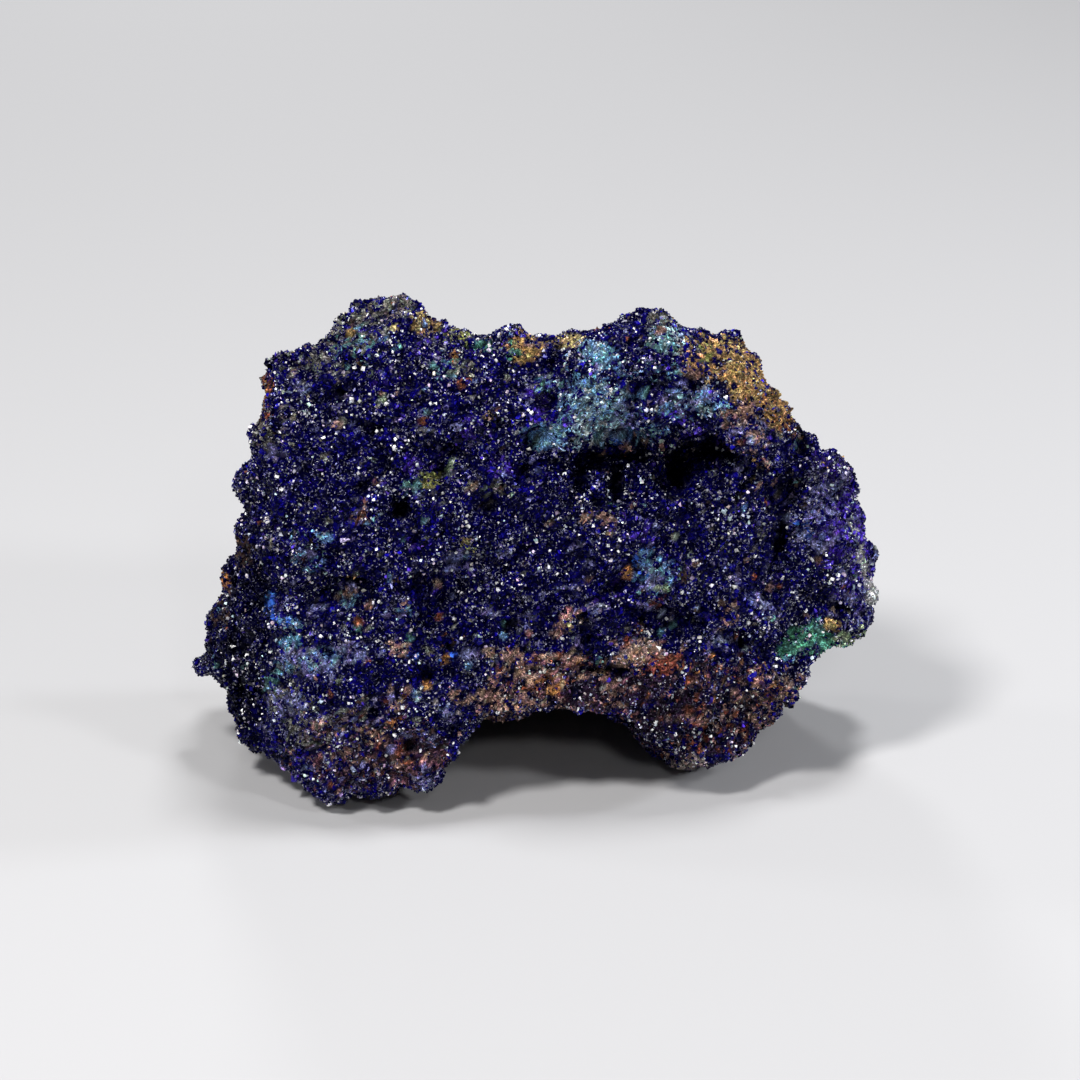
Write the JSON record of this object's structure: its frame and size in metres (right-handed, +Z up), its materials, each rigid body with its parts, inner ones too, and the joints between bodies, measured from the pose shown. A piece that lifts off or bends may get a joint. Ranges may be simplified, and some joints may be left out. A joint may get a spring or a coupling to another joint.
{
  "type": "azurite specimen",
  "caption": "Rock specimen covered by fine dark blue azurite crystals, with malachite, powder blue and ochre patches; it stands on its own feet.",
  "frame": {"origin": "centre of the bounding box's footprint, on the plane that the feet rest on", "axes": "+X along the broad face to its right, +Y from the crystal face to the back, +Z up"},
  "size_m": [0.0854, 0.0464, 0.062],
  "materials": {
    "azurite": "rough crystalline"
  },
  "bodies": {
    "root": {"azurite_specimen": "azurite"}
  },
  "joints": []
}
